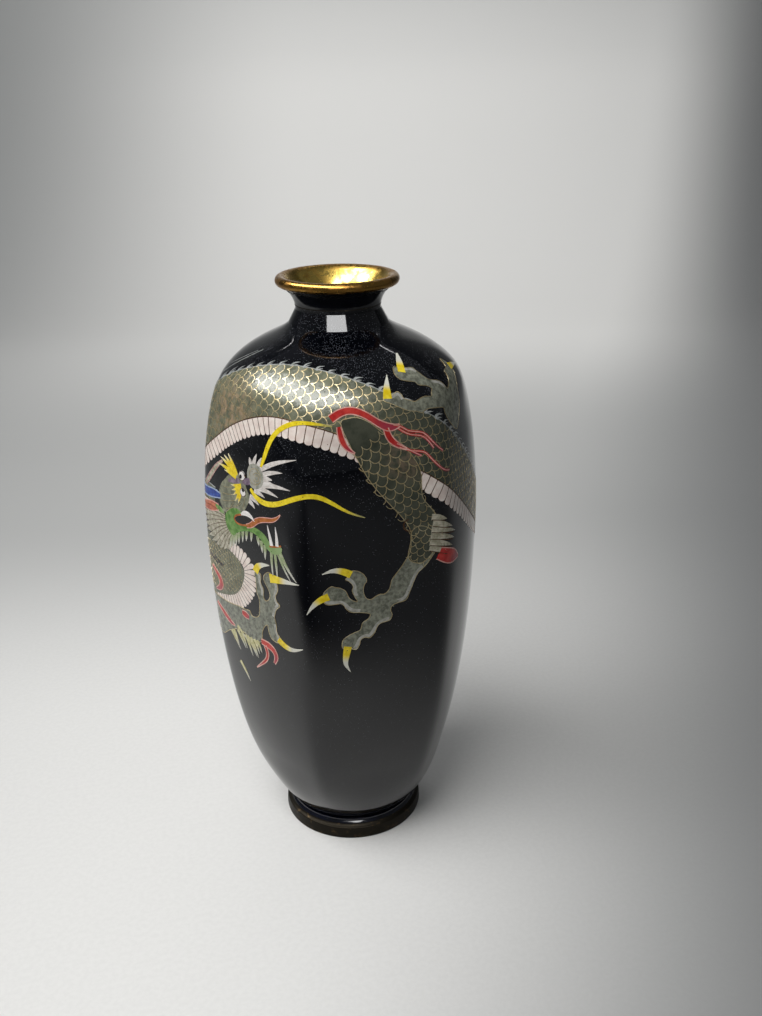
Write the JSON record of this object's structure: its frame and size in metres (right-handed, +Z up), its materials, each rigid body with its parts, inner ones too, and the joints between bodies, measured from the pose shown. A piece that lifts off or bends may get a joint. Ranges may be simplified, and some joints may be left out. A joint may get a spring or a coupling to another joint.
{
  "type": "cloisonne vase",
  "caption": "Tall six-sided shouldered vase with a short flared neck and round foot, black enamel on copper with an inlaid wire-outlined dragon.",
  "frame": {"origin": "centre of the foot's underside, on the surface the vase stands on", "axes": "+Z up along the vase's axis, one flat panel faces -Y, two opposite corners lie on X"},
  "size_m": [0.113, 0.1051, 0.24],
  "materials": {
    "bronze": "dark patinated bronze, satin",
    "copper": "spun copper, hidden by enamel",
    "gilt_brass": "polished gilt brass, lightly tarnished",
    "gilt_wire": "fine polished cloison wire",
    "foot_navy": "glossy dark navy enamel",
    "lining_enamel": "plain glossy counter enamel",
    "ground_black": "high gloss black enamel with fine pits",
    "border_black": "high gloss black enamel",
    "scale_green": "glossy grey green enamel",
    "spine_grey": "glossy grey enamel",
    "belly_cream": "glossy cream pink enamel",
    "leg_grey": "glossy grey enamel",
    "yellow": "glossy yellow enamel",
    "ivory": "glossy ivory enamel",
    "flame_red": "glossy red enamel",
    "face_green": "glossy grey green enamel",
    "jaw_green": "glossy leaf green enamel",
    "tongue_brown": "glossy orange brown enamel",
    "white": "glossy white enamel",
    "horn_blue": "glossy blue enamel",
    "ear_red": "glossy red enamel",
    "hair_straw": "glossy straw enamel"
  },
  "bodies": {
    "root": {"foot_ring": "bronze", "foot_enamel": "foot_navy", "foot_collar": "copper", "base_plate": "copper", "base_enamel": "foot_navy", "copper_bowl": "copper", "copper_wall": "copper", "copper_shoulder": "copper", "copper_neck": "copper", "inner_enamel": "lining_enamel", "ground_enamel": "ground_black", "neck_enamel": "ground_black", "neck_border_enamel": "border_black", "neck_wire_ring": "gilt_wire", "mouth_rim": "gilt_brass", "scale_enamel": "scale_green", "belly_enamel": "belly_cream", "belly_wires": "gilt_wire", "outline_wires": "gilt_wire", "back_spines": "spine_grey", "leg_enamel": "leg_grey", "claw_root_enamel": "yellow", "claw_tip_enamel": "ivory", "flame_enamel": "flame_red", "face_enamel": "face_green", "jaw_enamel": "jaw_green", "tongue_enamel": "tongue_brown", "fang_enamel": "white", "brow_enamel": "yellow", "eye_enamel": "white", "pupil_enamel": "ground_black", "horn_enamel": "horn_blue", "ear_enamel": "ear_red", "mane_enamel": "white", "elbow_hair_enamel": "hair_straw", "whisker_enamel": "yellow"}
  },
  "joints": []
}
